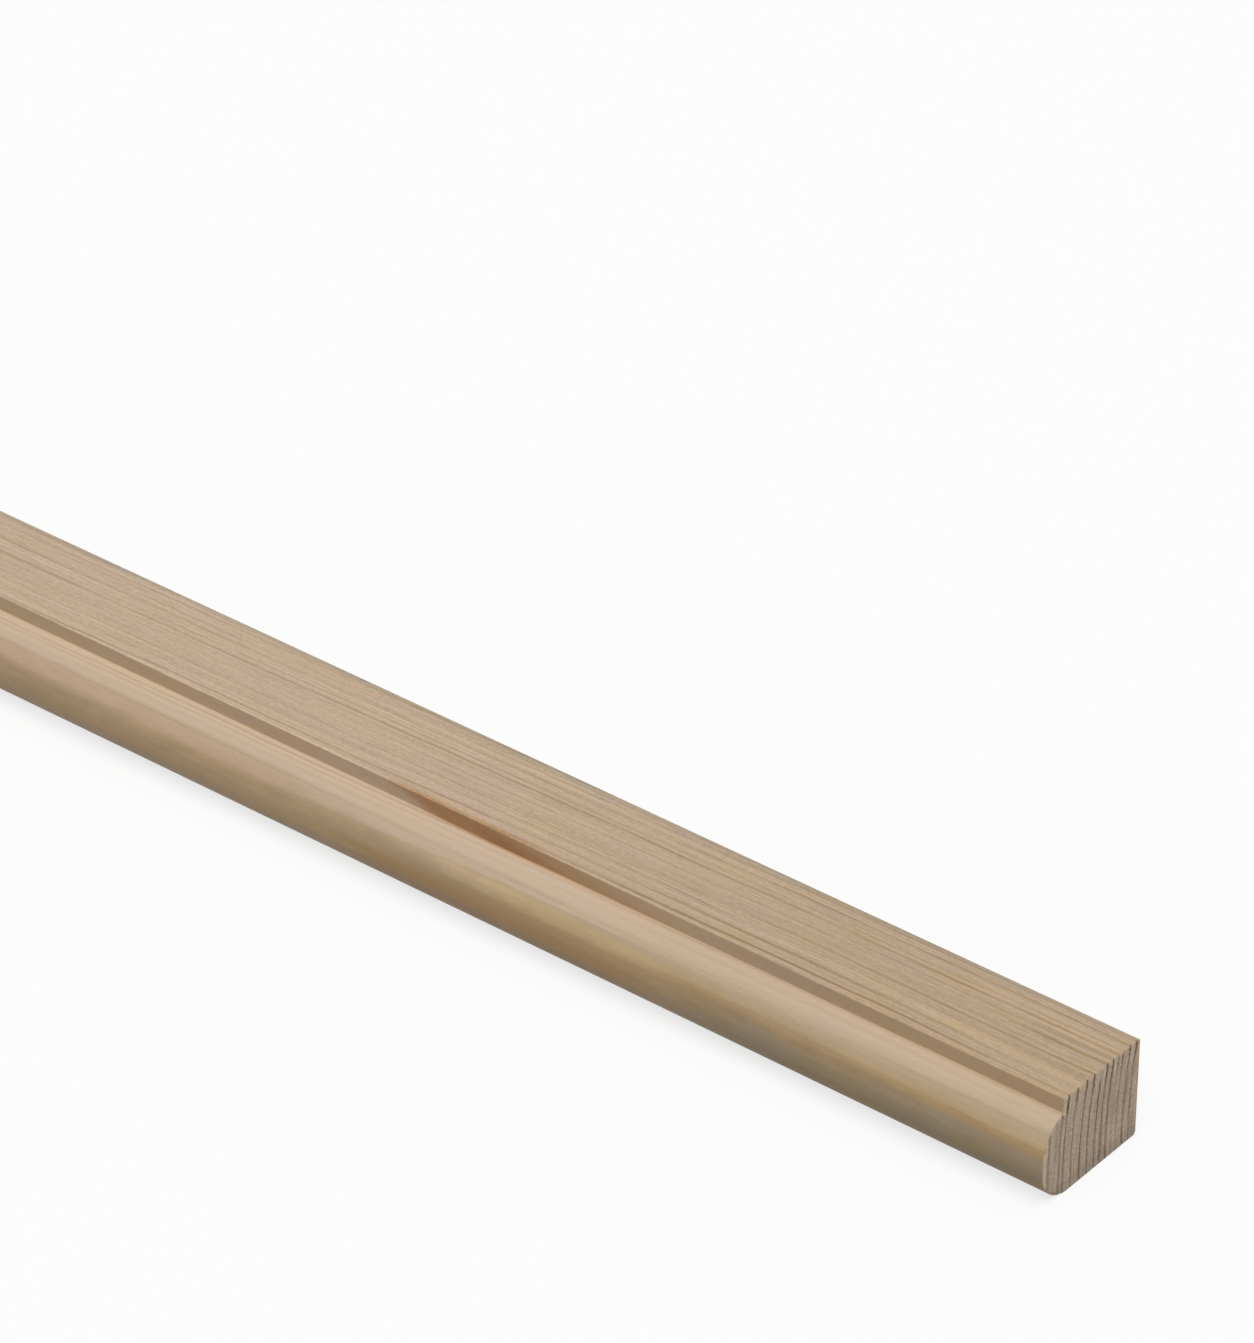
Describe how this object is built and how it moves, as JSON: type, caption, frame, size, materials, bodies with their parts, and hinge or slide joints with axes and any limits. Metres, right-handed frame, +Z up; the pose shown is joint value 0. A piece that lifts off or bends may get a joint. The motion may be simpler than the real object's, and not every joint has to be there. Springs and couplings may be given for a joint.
{
  "type": "staff bead moulding",
  "caption": "Length of planed softwood moulding with a quirked bead along one edge, used to hold a sliding sash in its frame.",
  "frame": {"origin": "centre of the bottom of the bounding box: on the plain wide face that the moulding lies on, midway along its length and midway across its width", "axes": "+X along the length, +Y to the plain back edge away from the bead, +Z up to the quirked wide face"},
  "size_m": [2.4, 0.028, 0.021],
  "materials": {
    "planed_pine": "planed, unfinished"
  },
  "bodies": {
    "root": {"staff_bead": "planed_pine"}
  },
  "joints": []
}
